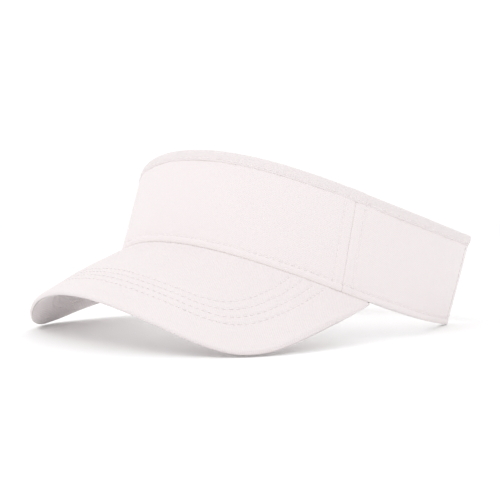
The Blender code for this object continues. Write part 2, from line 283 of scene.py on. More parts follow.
def slab(name, mid, half, uv, mat, flip=False, nrm=None, closed=(True, True, True, True), lined=True):
    """A piece of cloth: a grid of middle points, half its thickness at each, and its position in the weave.
    closed says whether the first row, last row, first column and last column get a rim."""
    m, n = mid.shape[:2]
    N = normals(mid, flip) if nrm is None else nrm
    half = np.broadcast_to(half, (m, n))
    outer = mid + N * half[..., None]
    inner = mid - N * half[..., None]
    i = np.arange(m * n).reshape(m, n)
    q = np.stack([i[:-1, :-1], i[:-1, 1:], i[1:, 1:], i[1:, :-1]], -1).reshape(-1, 4)
    k = m * n
    # q's own winding gives the normal du x dv
    up = q if not flip else q[:, ::-1]
    down = (q[:, ::-1] if not flip else q) + k
    if not lined:
        # its back can't be seen from anywhere, so only the face is made
        return make_object(name, outer.reshape(-1, 3), up, uv.reshape(-1, 2), mat)
    faces = [up, down]
    rims = []
    if closed[0]:
        rims.append(np.stack([i[0, 1:], i[0, :-1], i[0, :-1] + k, i[0, 1:] + k], -1))
    if closed[1]:
        rims.append(np.stack([i[-1, :-1], i[-1, 1:], i[-1, 1:] + k, i[-1, :-1] + k], -1))
    if closed[2]:
        rims.append(np.stack([i[:-1, 0], i[1:, 0], i[1:, 0] + k, i[:-1, 0] + k], -1))
    if closed[3]:
        rims.append(np.stack([i[1:, -1], i[:-1, -1], i[:-1, -1] + k, i[1:, -1] + k], -1))
    for r in rims:
        faces.append(r if not flip else r[:, ::-1])
    verts = np.concatenate([outer.reshape(-1, 3), inner.reshape(-1, 3)])
    uvs = np.concatenate([uv.reshape(-1, 2)] * 2)
    return make_object(name, verts, np.concatenate(faces), uvs, mat)


def stitches(name, runs, mat, pitch=0.0034, gap=0.0004, radius=0.00019, lift=0.00008, sides=6, rings=7):
    """Stitches along curves. Each run is (points, normals) densely spaced; every stitch is a short arched thread that dips into the cloth at both ends."""
    V, F, U, base = [], [], [], 0
    for pts, nrm in runs:
        d = np.concatenate([[0], np.cumsum(np.linalg.norm(np.diff(pts, axis=0), axis=1))])
        count = max(int(d[-1] // pitch), 1)
        first = (d[-1] - count * pitch) / 2
        t = np.linspace(0, 1, rings)
        for k in range(count):
            a0 = first + k * pitch + gap / 2 + rng.uniform(-1, 1) * 0.00008
            a1 = first + (k + 1) * pitch - gap / 2 + rng.uniform(-1, 1) * 0.00008
            a = a0 + (a1 - a0) * t
            c = np.stack([np.interp(a, d, pts[:, j]) for j in range(3)], -1)
            w = np.stack([np.interp(a, d, nrm[:, j]) for j in range(3)], -1)
            w /= np.linalg.norm(w, axis=1, keepdims=True)
            g = np.gradient(c, axis=0)
            g /= np.linalg.norm(g, axis=1, keepdims=True)
            s = np.cross(g, w)
            s /= np.linalg.norm(s, axis=1, keepdims=True)
            rise = lift * (np.sin(math.pi * np.clip(t, 0, 1)) ** 0.45) - 0.00016 * (np.abs(2 * t - 1) ** 8)
            skew = (t - 0.5) * 0.00016 + rng.uniform(-1, 1) * 0.00005
            c = c + w * rise[:, None] + s * skew[:, None]
            rr = radius * (0.60 + 0.40 * np.sin(math.pi * t) ** 0.5) * rng.uniform(0.94, 1.06)
            ang = np.linspace(0, 2 * math.pi, sides, endpoint=False)
            ring = c[:, None] + s[:, None] * (np.cos(ang)[None, :, None] * rr[:, None, None]) + w[:, None] * (np.sin(ang)[None, :, None] * rr[:, None, None] * 0.85)
            V.append(ring.reshape(-1, 3))
            U.append(np.stack(np.broadcast_arrays(a[:, None], ang[None] * 0.0001 + 0.01 * k), -1).reshape(-1, 2))
            i = np.arange(rings * sides).reshape(rings, sides)
            j = np.roll(i, -1, axis=1)
            q = np.stack([i[:-1], j[:-1], j[1:], i[1:]], -1).reshape(-1, 4)
            caps = []
            for row, rev in ((i[0], True), (i[-1], False)):
                a4 = np.array([[row[0], row[1], row[2], row[3]], [row[0], row[3], row[4], row[5]]])
                caps.append(a4[:, ::-1] if rev else a4)
            F.append(np.concatenate([q] + caps) + base)
            base += rings * sides
    return make_object(name, np.concatenate(V), np.concatenate(F), np.concatenate(U), mat)


# ================================================================== materials
def node_tree(name):
    mat = bpy.data.materials.new(name)
    mat.use_nodes = True
    nt = mat.node_tree
    nt.nodes.clear()
    out = nt.nodes.new("ShaderNodeOutputMaterial")
    bsdf = nt.nodes.new("ShaderNodeBsdfPrincipled")
    nt.links.new(bsdf.outputs["BSDF"], out.inputs["Surface"])
    return mat, nt, bsdf


class Net:
    def __init__(self, nt):
        self.nt = nt

    def math(self, op, a, b=None, c=None, clamp=False):
        n = self.nt.nodes.new("ShaderNodeMath")
        n.operation = op
        n.use_clamp = clamp
        for i, v in enumerate((a, b, c)):
            if v is None:
                continue
            if isinstance(v, (int, float)):
                n.inputs[i].default_value = v
            else:
                self.nt.links.new(v, n.inputs[i])
        return n.outputs[0]

    def uv_mm(self):
        """The weave's own coordinates in millimetres: along and up."""
        uv = self.nt.nodes.new("ShaderNodeUVMap")
        uv.uv_map = "cloth"
        sep = self.nt.nodes.new("ShaderNodeSeparateXYZ")
        self.nt.links.new(uv.outputs["UV"], sep.inputs[0])
        return uv.outputs["UV"], self.math("MULTIPLY", sep.outputs[0], 1000.0), self.math("MULTIPLY", sep.outputs[1], 1000.0)

    def noise(self, vector, scale, detail=3.0, rough=0.55):
        n = self.nt.nodes.new("ShaderNodeTexNoise")
        n.inputs["Scale"].default_value = scale
        n.inputs["Detail"].default_value = detail
        n.inputs["Roughness"].default_value = rough
        self.nt.links.new(vector, n.inputs["Vector"])
        return n.outputs["Fac"]

    def combine(self, x, y):
        n = self.nt.nodes.new("ShaderNodeCombineXYZ")
        for i, v in enumerate((x, y)):
            self.nt.links.new(v, n.inputs[i])
        return n.outputs[0]

    def ramp(self, fac, c0, c1, p0=0.0, p1=1.0):
        n = self.nt.nodes.new("ShaderNodeValToRGB")
        n.color_ramp.elements[0].position = p0
        n.color_ramp.elements[1].position = p1
        n.color_ramp.elements[0].color = (*c0, 1)
        n.color_ramp.elements[1].color = (*c1, 1)
        self.nt.links.new(fac, n.inputs[0])
        return n.outputs[0]

    def bump(self, height, strength, distance, normal=None):
        n = self.nt.nodes.new("ShaderNodeBump")
        n.inputs["Strength"].default_value = strength
        n.inputs["Distance"].default_value = distance
        self.nt.links.new(height, n.inputs["Height"])
        if normal is not None:
            self.nt.links.new(normal, n.inputs["Normal"])
        return n.outputs[0]


def scaled(c, k):
    return tuple(min(v * k, 1.0) for v in c)


def cloth_material(name, colour, pitch, slope, contrast, bump, sheen=0.25, rough=0.92, yarn=0.42, fuzz=0.5):
    """Twill: slanting ridges, pitch apart in mm and slope up per mm along, cut across by the yarns, with slubs and a
    faint unevenness of the dye; the colour also follows the weave's height, so its grooves are painted darker than its
    ridges as painted shade.
    """
    mat, nt, bsdf = node_tree(name)
    g = Net(nt)
    uv, x, y = g.uv_mm()
    wob = g.math("MULTIPLY_ADD", g.noise(uv, 160.0, 2.0), 0.9, -0.45)
    length = math.hypot(1.0, slope)
    across = g.math("ADD", g.math("MULTIPLY", x, slope / length), g.math("MULTIPLY", y, -1.0 / length))
    across = g.math("ADD", across, g.math("MULTIPLY", wob, 0.5))
    ridge = g.math("MULTIPLY_ADD", g.math("SINE", g.math("MULTIPLY", across, 2 * math.pi / pitch)), 0.5, 0.5)
    weft = g.math("MULTIPLY_ADD", g.math("SINE", g.math("MULTIPLY", g.math("ADD", y, g.math("MULTIPLY", wob, 0.2)), 2 * math.pi / yarn)), 0.5, 0.5)
    warp = g.math("MULTIPLY_ADD", g.math("SINE", g.math("MULTIPLY", g.math("ADD", x, g.math("MULTIPLY", wob, 0.2)), 2 * math.pi / (yarn * 0.9))), 0.5, 0.5)
    yarns = g.math("MULTIPLY", g.math("ADD", weft, warp), 0.5)
    weave = g.math("ADD", g.math("MULTIPLY", ridge, 0.68), g.math("MULTIPLY", yarns, 0.32))
    slub = g.noise(g.combine(g.math("MULTIPLY", x, 0.35), g.math("MULTIPLY", y, 2.2)), 1.0, 3.0)
    lint = g.noise(uv, 2600.0, 2.0)
    height = g.math("ADD", g.math("ADD", weave, g.math("MULTIPLY", slub, 0.55)), g.math("MULTIPLY", lint, fuzz))
    cloud = g.noise(uv, 28.0, 4.0)
    # the colour follows the weave's height, so the grooves between its ridges are painted darker: painted shade; the
    # slubs and the cloud are the cloth's own tone
    tone = g.math("ADD", g.math("MULTIPLY", weave, 0.55), g.math("ADD", g.math("MULTIPLY", slub, 0.25), g.math("MULTIPLY", cloud, 0.25)))
    base = g.ramp(tone, scaled(colour, 1 - contrast), scaled(colour, 1 + contrast * 0.35), 0.12, 0.88)
    nt.links.new(base, bsdf.inputs["Base Color"])
    r = g.math("MULTIPLY_ADD", weave, -0.08, rough)
    nt.links.new(r, bsdf.inputs["Roughness"])
    bsdf.inputs["Specular IOR Level"].default_value = 0.22
    bsdf.inputs["Sheen Weight"].default_value = sheen
    bsdf.inputs["Sheen Roughness"].default_value = 0.45
    bsdf.inputs["Sheen Tint"].default_value = (1.0, 0.97, 0.97, 1)
    nt.links.new(g.bump(height, 1.0, bump), bsdf.inputs["Normal"])
    return mat


def pile_material(name, colour, scale, bump, contrast=0.25, sheen=0.5, rough=0.97):
    mat, nt, bsdf = node_tree(name)
    g = Net(nt)
    uv, x, y = g.uv_mm()
    v = nt.nodes.new("ShaderNodeTexVoronoi")
    v.inputs["Scale"].default_value = scale
    nt.links.new(uv, v.inputs["Vector"])
    fine = g.noise(uv, scale * 2.3, 3.0)
    tuft = g.math("ADD", g.math("SUBTRACT", 1.0, v.outputs["Distance"]), g.math("MULTIPLY", fine, 0.8))
    cloud = g.noise(uv, 45.0, 3.0)
    # the colour follows the pile's height, so the hollows between its tufts are painted darker: painted shade; the
    # cloud is the cloth's own tone
    tone = g.math("ADD", g.math("MULTIPLY", tuft, 0.45), g.math("MULTIPLY", cloud, 0.25))
    nt.links.new(g.ramp(tone, scaled(colour, 1 - contrast), scaled(colour, 1.05), 0.2, 0.85), bsdf.inputs["Base Color"])
    nt.links.new(g.math("MULTIPLY_ADD", fine, 0.06, rough - 0.05), bsdf.inputs["Roughness"])
    bsdf.inputs["Specular IOR Level"].default_value = 0.15
    bsdf.inputs["Sheen Weight"].default_value = sheen
    bsdf.inputs["Sheen Roughness"].default_value = 0.5
    nt.links.new(g.bump(tuft, 1.0, bump), bsdf.inputs["Normal"])
    return mat


def thread_material(name, colour):
    mat, nt, bsdf = node_tree(name)
    g = Net(nt)
    uv, x, y = g.uv_mm()
    twist = g.math("MULTIPLY_ADD", g.math("SINE", g.math("ADD", g.math("MULTIPLY", x, 2 * math.pi / 0.42), g.math("MULTIPLY", y, 10.0))), 0.5, 0.5)
    lint = g.noise(uv, 3000.0, 2.0)
    # the grooves of the twist are painted darker than its plies: painted shade; the lint is the thread's own tone
    tone = g.math("ADD", g.math("MULTIPLY", twist, 0.6), g.math("MULTIPLY", lint, 0.4))
    nt.links.new(g.ramp(tone, scaled(colour, 0.93), scaled(colour, 1.03), 0.1, 0.9), bsdf.inputs["Base Color"])
    nt.links.new(g.math("MULTIPLY_ADD", lint, 0.2, 0.55), bsdf.inputs["Roughness"])
    bsdf.inputs["Specular IOR Level"].default_value = 0.35
    bsdf.inputs["Sheen Weight"].default_value = 0.15
    nt.links.new(g.bump(tone, 1.0, 0.00004), bsdf.inputs["Normal"])
    return mat


def solid_material(name, colour, rough, scale, bump):
    """Moulded plastic or a stiff mesh seen only at its edges: object coordinates, a fine grain and a faint unevenness."""
    mat, nt, bsdf = node_tree(name)
    g = Net(nt)
    tc = nt.nodes.new("ShaderNodeTexCoord")
    grain = g.noise(tc.outputs["Object"], scale, 4.0)
    cloud = g.noise(tc.outputs["Object"], 30.0, 3.0)
    tone = g.math("ADD", g.math("MULTIPLY", grain, 0.6), g.math("MULTIPLY", cloud, 0.4))
    nt.links.new(g.ramp(tone, scaled(colour, 0.88), scaled(colour, 1.04), 0.25, 0.75), bsdf.inputs["Base Color"])
    nt.links.new(g.math("MULTIPLY_ADD", grain, 0.25, rough - 0.1), bsdf.inputs["Roughness"])
    nt.links.new(g.bump(grain, 1.0, bump), bsdf.inputs["Normal"])
    return mat


WHITE = (0.822, 0.765, 0.766)
twill = cloth_material("twill_white", WHITE, 0.86, 1.15, 0.08, 0.000055)
twill_brim = cloth_material("twill_white_brim", scaled(WHITE, 0.985), 0.86, 1.15, 0.08, 0.00009)
tape = cloth_material("binding_tape", scaled(WHITE, 0.985), 0.62, 0.72, 0.10, 0.00010, yarn=0.36)
facing = cloth_material("facing_cotton", (0.87, 0.84, 0.835), 0.50, 0.55, 0.12, 0.00008, sheen=0.15, yarn=0.50)
terry = pile_material("terry_towelling", (0.90, 0.865, 0.865), 1500.0, 0.00024, contrast=0.14)
loops = pile_material("loop_pad_pile", (0.90, 0.88, 0.875), 1900.0, 0.00026, contrast=0.14, sheen=0.6)
# the thread is coloured lighter than the cloth as painted light, to offset the shade that falls on the stitches
sewing = thread_material("sewing_thread", (0.90, 0.85, 0.85))
hook_plastic = thread_material("hook_nylon", (0.84, 0.84, 0.83))
hook_base = cloth_material("hook_pad_base", (0.84, 0.84, 0.83), 0.45, 0.01, 0.14, 0.00008, sheen=0.05, rough=0.6)
stiff = solid_material("buckram_mesh", (0.80, 0.78, 0.74), 0.85, 1400.0, 0.0001)
board_mat = solid_material("brim_board_plastic", (0.80, 0.80, 0.78), 0.45, 500.0, 0.00003)

S2A = HALF_LENGTH  # metres of arc for a share of 1


def groove(d, depth, width):
    return -depth * np.exp(-((d / width) ** 2))


# ================================================================== band: twill outer panels
TWILL_T = 0.0009
TOP_STITCH_UP = 0.0049     # stitch line of the top strip, below the top edge
LOW_STITCH_UP = 0.0040     # stitch line over the bottom edge
PANEL_TOP_ROOM = 0.0021
SEAM_LINES = 0.0056        # the seam's two rows of topstitching, either side of it
HEM_LINE = 0.0062
PITCH = 0.0034


def seam_share(v):
    return SIDE_SEAM[0] + (SIDE_SEAM[1] - SIDE_SEAM[0]) * v


def band_relief(a, up, height, share):
    """How far the twill's face stands out (+) or in (-): a is the arc from the centre front, up from the bottom edge."""
    v = up / height
    beat = 0.72 + 0.28 * np.cos(2 * math.pi * a / PITCH)
    d = groove(up - LOW_STITCH_UP, 0.00032, 0.00085) * beat
    d = d + 0.00026 * np.exp(-(((up - 0.0019) / 0.0012) ** 2))
    pucker = waves(11, a, up * 0.25, 0.0095, 2)
    d = d + 0.00010 * pucker * np.exp(-((up - LOW_STITCH_UP) / 0.0028) ** 2)
    d = d + 0.00009 * waves(12, a, up * 0.2, 0.0085, 2) * np.exp(-((height - up - 0.0075) / 0.003) ** 2)
    d = d + 0.00026 * waves(13, a, up, 0.060, 3)
    # the seam allowances lie under the cloth either side of the side seam
    s = (np.abs(share) - seam_share(v)) * S2A
    beat_s = 0.72 + 0.28 * np.cos(2 * math.pi * up / PITCH)
    plateau = 0.00034 * (1 / (1 + np.exp((np.abs(s) - SEAM_LINES - 0.0003) / 0.00035)))
    d = d + plateau
    d = d + groove(np.abs(s) - SEAM_LINES, 0.00034, 0.0008) * beat_s
    d = d + 0.00008 * waves(14, a * 0.3, up, 0.0080, 2) * np.exp(-((np.abs(s) - SEAM_LINES) / 0.003) ** 2)
    # the back hem: cloth folded in twice behind its stitching
    e = (HEM_END[0] + (HEM_END[1] - HEM_END[0]) * v - np.abs(share)) * S2A
    d = d + 0.00006 / (1 + np.exp((e - HEM_LINE - 0.0002) / 0.0009))
    d = d + groove(e - HEM_LINE, 0.00004, 0.0007) * beat_s
    d = d + 0.00007 * waves(15, a * 0.3, up, 0.0075, 2) * np.exp(-((e - HEM_LINE) / 0.003) ** 2)
    return d


def rolled(up, share):
    """How far the bottom edge of the cloth turns in: a folded edge at the sides, a sewn seam against the brim at the front."""
    radius = 0.0005 + 0.0006 * np.clip((np.abs(share) - 0.585) / 0.03, 0, 1)
    q = np.clip(up / (radius * 1.2), 0, 1)
    return radius * 0.9 * (1 - np.sqrt(np.maximum(1 - (1 - q) ** 2, 0)))


def twill_panel(name, start, end, low_share=None):
    """A twill panel of the band. start and end are (bottom, top) shares; its first and last columns are the seam or the hem."""
    L = abs((end[0] + end[1]) / 2 - (start[0] + start[1]) / 2) * S2A
    fine_a = []
    for c in (SEAM_LINES, L - SEAM_LINES, HEM_LINE, L - HEM_LINE):
        fine_a.append((c, 0.0016, 0.0003))
    cols = ticks(L, 0.00075, fine_a, ROUND_MARKS + (0.0008, 0.0013)) / L
    H = BAND_HEIGHT
    rows = ticks(H, 0.0016, [(LOW_STITCH_UP, 0.0016, 0.00028), (H - 0.0075, 0.0015, 0.0005)], (0.0, 0.0002, 0.0005, 0.0009, 0.0014)) / H
    v, c = np.meshgrid(rows, cols, indexing="ij")
    a0, a1 = start[0] + (start[1] - start[0]) * v, end[0] + (end[1] - end[0]) * v
    share = a0 + (a1 - a0) * c
    h = band_height(share)
    top = h - PANEL_TOP_ROOM
    low = 0.0003 - 0.0006 * np.clip((0.600 - np.abs(share)) / 0.01, 0, 1)
    up = low + (top - low) * v
    arc = share * S2A
    relief = band_relief(arc, up, h, share)
    inward = TWILL_T / 2 + rolled(up, share) - relief
    # under the top strip the cloth is pressed in
    inward = inward + 0.00038 / (1 + np.exp((h - 0.0056 - up) / 0.00020))
    # the panel's ends turn in at the seam
    d0 = c * np.abs(a1 - a0) * S2A
    d1 = (1 - c) * np.abs(a1 - a0) * S2A
    for d, is_seam in ((d0, abs(abs(start[0]) - SIDE_SEAM[0]) < 0.01), (d1, abs(abs(end[0]) - SIDE_SEAM[0]) < 0.01)):
        q = np.clip(d / 0.0010, 0, 1)
        if is_seam:
            inward = inward + 0.00048 * (1 - np.sqrt(np.maximum(1 - (1 - q) ** 2, 0)))
        else:
            inward = inward + 0.0004 * (1 - np.sqrt(np.maximum(1 - (1 - q) ** 2, 0)))
    inward = np.maximum(inward, -0.00035)
    mid = world(on_band(share, up, inward))
    n = normals(mid)
    probe = world(on_band(share, up, inward - 0.001)) - mid
    flip = float((n * probe).sum(-1).mean()) < 0
    # the hem is folded in twice and the bottom edge turned up once behind the brim's end, so both are thicker inside their stitching
    thick = np.full_like(c, TWILL_T)
    if abs(end[0]) > 0.9:
        in_hem = 0.0012 / (1 + np.exp((d1 - HEM_LINE - 0.0008) / 0.0002))
        turned_up = 0.00100 / (1 + np.exp((up - LOW_STITCH_UP - 0.0008) / 0.0002)) * np.clip((np.abs(share) - 0.604) / 0.010, 0, 1)
        thick = thick + np.maximum(in_hem, turned_up)
        mid = mid - n * (-1 if flip else 1) * ((thick - TWILL_T) / 2)[..., None]
    near_edge = np.minimum(d0, np.minimum(up - low, top - up)) + 0.00002
    half = np.minimum(edge_profile(near_edge, TWILL_T) + (thick - TWILL_T) / 2, edge_profile(d1 + 0.00002, thick))
    half = np.minimum(half, edge_profile(up - low + 0.00012, thick))
    uv = np.stack([arc, up], -1)
    return slab(name, mid, half, uv, twill, flip), L


SEAM_IN = 0.00008 / S2A
front, front_len = twill_panel("front_twill", (-SIDE_SEAM[0] + SEAM_IN, -SIDE_SEAM[1] + SEAM_IN), (SIDE_SEAM[0] - SEAM_IN, SIDE_SEAM[1] - SEAM_IN))
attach(front, "crown")
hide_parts("front_panel")


def flex_ends(side):
    a = world(on_band(side * 0.606, 0.027, 0.002))
    b = world(on_band(side * 0.660, 0.027, 0.002))
    # the two points are set square to the band's axis at the flex line
    mid = world(on_band(side * FLEX_AT, 0.027, 0.002))
    d = b - a
    axis = np.array([0.0, math.sin(LEAN), math.cos(LEAN)])
    d = d - axis * (d @ axis)
    return tuple(mid - d / 2), tuple(mid + d / 2)


WINGS = {1: "left", -1: "right"}
for side, word in WINGS.items():
    p, length = twill_panel("side_twill_" + word, (side * (SIDE_SEAM[0] + SEAM_IN), side * (SIDE_SEAM[1] + SEAM_IN)), (side * HEM_END[0], side * HEM_END[1]))
    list(flex_ends(side))
    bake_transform(p)
    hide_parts("side_panel_fore_" + word, "side_panel_" + word)

# ================================================================== band: inner layers, as left and right halves
D_LINING = 0.0023
D_SWEAT = 0.0033
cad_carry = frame["nodes"]["front_buckram"]
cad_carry.data.materials.clear()
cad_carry.data.materials.append(stiff)
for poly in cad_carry.data.polygons:
    poly.use_smooth = False

for side, word in WINGS.items():
    # lining
    L = (HEM_END[0] - 0.005) * S2A
    cols = ticks(L, 0.0011, [(L - 0.0012, 0.0010, 0.0003)], ()) / L
    H = BAND_HEIGHT
    rows = ticks(H, 0.0022, [(LOW_STITCH_UP, 0.0015, 0.0004)], (0.0, 0.0003, 0.0007, 0.0012)) / H
    v, c = np.meshgrid(rows, cols, indexing="ij")
    end = HEM_END[0] + (HEM_END[1] - HEM_END[0]) * v - 0.0010 / S2A
    share = side * c * end
    h = band_height(share)
    up = 0.0006 + (h - PANEL_TOP_ROOM - 0.0008) * v
    arc = np.abs(share) * S2A
    relief = 0.00012 * waves(31, arc, up, 0.020, 3) + groove(up - LOW_STITCH_UP, 0.00018, 0.0008)
    q = np.clip(up / 0.0012, 0, 1)
    inward = D_LINING + 0.00035 - 0.0006 * (1 - np.sqrt(np.maximum(1 - (1 - q) ** 2, 0))) + np.minimum(relief, 0.0002)
    mid = world(on_band(share, up, inward))
    probe = world(on_band(share, up, inward + 0.001)) - mid
    flip = float((normals(mid) * probe).sum(-1).mean()) < 0
    edge = np.minimum((1 - c) * L, up - 0.0006) + 0.00002
    lining = slab("side_lining_cloth_" + word, mid, edge_profile(edge, 0.0007), np.stack([arc * side, up], -1), facing, flip, closed=(True, True, False, True))
    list(flex_ends(side))
    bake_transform(lining)
    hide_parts("side_lining_" + word, "front_lining")

    # towelling sweatband, folded at its top edge and sewn along its bottom edge
    L = 0.905 * S2A
    cols = ticks(L, 0.0010, (), (0.0, 0.0002, 0.0006, 0.0012)) / L
    cols = cols[(cols == 0) | (cols > 0.0009 / L)]
    H = 0.0270
    rows = ticks(H, 0.0010, (), (0.0, 0.00012, 0.0004, 0.0008)) / H
    v, c = np.meshgrid(rows, cols, indexing="ij")
    share = side * c * 0.905
    up = 0.0006 + (H - 0.0006) * v
    arc = np.abs(share) * S2A
    fluff = 0.00012 * waves(41, arc, up, 0.0032, 3) + 0.00018 * waves(42, arc, up, 0.018, 2)
    puff = 0.0020 * (0.72 + 0.28 * np.sin(math.pi * np.clip(v, 0.0, 1)) ** 0.6)
    edge = np.minimum(np.minimum((1 - c) * L, (1 - v) * H), v * H) + 0.00002
    q = np.clip(edge / 0.0011, 0, 1)
    t = puff * np.sqrt(np.maximum(1 - (1 - q) ** 2, 0.02)) + np.minimum(fluff, 0.0) + groove(up - 0.0030, 0.0005, 0.0009)
    t = np.maximum(t, 0.0003)
    mid = world(on_band(share, up, D_SWEAT + 0.0001 + t / 2))
    sweat = slab("sweatband_terry_" + word, mid, t / 2, np.stack([arc * side, up], -1), terry, flip, closed=(True, True, False, True))
    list(flex_ends(side))
    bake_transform(sweat)
    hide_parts("sweatband_" + word, "sweatband_front")

    # strip folded over the top edge
    inner = 0.0033
    half_w = inner / 2 + 0.0003
    centre = inner / 2 + 0.00005
    drop = 0.0062
    # distance along the section: up the outer face, over the fold, down the inner face
    straight = drop - half_w
    fold = math.pi * half_w
    total = 2 * straight + fold
    w = ticks(total, 0.0007, [(straight - 0.0032, 0.0010, 0.00028), (total - straight + 0.0032, 0.0010, 0.0004)], ROUND_MARKS)
    L = (HEM_END[1] - 0.0005) * S2A
    cols = ticks(L, 0.00075, (), (0.0, 0.00015, 0.0004))
    cols = cols[(cols == 0) | (cols > 0.0006)] / L
    wv, c = np.meshgrid(w, cols, indexing="ij")
    share = side * c * (HEM_END[1] - 0.0005)
    arc = np.abs(share) * S2A
    ang = np.clip((wv - straight) / half_w, 0, math.pi)
    up = np.where(wv < straight, -drop + wv, np.where(wv > straight + fold, -half_w - (wv - straight - fold), -half_w + half_w * np.sin(ang)))
    rad = np.ones_like(wv)
    beat = 0.72 + 0.28 * np.cos(2 * math.pi * arc / PITCH)
    dist_line = np.minimum(np.abs(wv - 0.0013), np.abs(total - wv - 0.0013))
    relief = groove(dist_line, 0.00018, 0.0006) * beat
    relief = relief + 0.00010 * waves(51, arc, wv * 0.3, 0.0080, 2) * np.exp(-(dist_line / 0.0022) ** 2)
    relief = relief + 0.00013 * waves(52, arc, np.minimum(wv, total - wv), 0.030, 3)
    relief = relief - 0.00030 * np.exp(-((np.minimum(wv, total - wv) / 0.0008) ** 2))
    # the seam's bulk lies under the strip
    seam_d = (np.abs(share) - seam_share(1.0)) * S2A
    relief = relief + 0.00042 / (1 + np.exp((np.abs(seam_d) - 0.0050) / 0.0006))
    relief = np.clip(relief, -0.00036, 0.00075)
    off = half_w + relief
    inward = np.where(wv < straight, centre - off, np.where(wv > straight + fold, centre + off, centre - off * np.cos(ang)))
    up = up + np.where((wv >= straight) & (wv <= straight + fold), relief * np.sin(ang) * 0.6, 0.0) - 0.0003
    mid = world(on_band(share, band_height(share) + up, inward))
    edge = np.minimum(np.minimum(wv, total - wv), (1 - c) * L) + 0.00002
    out_dir = world(on_band(share, band_height(share) + up, inward - 0.001)) - mid
    flip = float((normals(mid) * out_dir)[:8].sum(-1).mean()) < 0
    strip = slab("top_strip_" + word, mid, edge_profile(edge, 0.0006), np.stack([arc * side, wv], -1), tape, flip, closed=(True, True, False, True))
    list(flex_ends(side))
    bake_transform(strip)
    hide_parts("top_binding_" + word, "top_binding_front")

    # ---- stitching of the band
    def band_run(shares, ups, inward_face, facing_out=True):
        """A row of stitching on the band: points on the face and the directions out of it."""
        p = world(on_band(shares, ups, inward_face))
        q = world(on_band(shares, ups, inward_face - (0.001 if facing_out else -0.001)))
        n = (q - p) / 0.001
        return p, n

    s = side * np.linspace(0.0004, HEM_END[1] - 0.004, 900)
    hgt = band_height(s)
    line_up = hgt - drop - 0.0003 + 0.0013
    bulk = 0.00042 / (1 + np.exp((np.abs((np.abs(s) - seam_share(1.0)) * S2A) - 0.0050) / 0.0006))
    uneven = 0.00013 * waves(52, np.abs(s) * S2A, np.full_like(s, 0.0013), 0.030, 3)
    outer_run = band_run(s, line_up, centre - half_w - 0.0003 + 0.00010 - bulk - uneven)
    inner_run = band_run(s, line_up, centre + half_w + 0.0003 - 0.00010 + bulk + uneven, False)
    o = stitches("top_strip_stitching_" + word, [outer_run, inner_run], sewing, PITCH)
    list(flex_ends(side))
    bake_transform(o)

    s = side * np.linspace(0.0004, HEM_END[0] - 0.004, 900)
    relief_at = band_relief(np.abs(s) * S2A, np.full_like(s, LOW_STITCH_UP), band_height(s), s)
    run = band_run(s, np.full_like(s, LOW_STITCH_UP), -relief_at - 0.00006)
    back = side * np.linspace(0.915, HEM_END[0] - 0.035, 60)
    inner_back = band_run(back, np.full_like(back, LOW_STITCH_UP), D_LINING + 0.0007 - 0.00002, False)
    o = stitches("low_edge_stitching_" + word, [run, inner_back], sewing, PITCH)
    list(flex_ends(side))
    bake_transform(o)

    runs = []
    for off_line in (-SEAM_LINES, SEAM_LINES):
        up = np.linspace(0.0012, BAND_HEIGHT - 0.0066, 300)
        v = up / BAND_HEIGHT
        sh = side * (seam_share(v) + off_line / S2A)
        rel = band_relief(np.abs(sh) * S2A, up, band_height(sh), sh)
        runs.append(band_run(sh, up, -rel - 0.00006))
    o = stitches("side_seam_stitching_" + word, runs, sewing, PITCH)
    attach(o, "crown")

    up = np.linspace(0.0012, HEM_HEIGHT - 0.0066, 300)
    v = up / HEM_HEIGHT
    sh = side * (HEM_END[0] + (HEM_END[1] - HEM_END[0]) * v - HEM_LINE / S2A)
    rel = band_relief(np.abs(sh) * S2A, up, band_height(sh), sh)
    runs = [band_run(sh, up, -rel - 0.00006)]
    o = stitches("hem_stitching_" + word, runs, sewing, PITCH, radius=0.00013, lift=0.00004)
    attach(o, word + "_wing")

    # the sweatband's own row of stitching, along its bottom edge
    s = side * np.linspace(0.0004, 0.900, 800)
    run = band_run(s, np.full_like(s, 0.0036), D_SWEAT + 0.0014, False)
    o = stitches("sweatband_stitching_" + word, [run], sewing, PITCH)
    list(flex_ends(side))
    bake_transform(o)

# ================================================================== brim
ROWS = [row_line(k) for k in range(4)]
BRIM_COLS = 600
THICK_IN, THICK_EDGE = 0.0040, 0.0031


SIDE_R = 0.0007


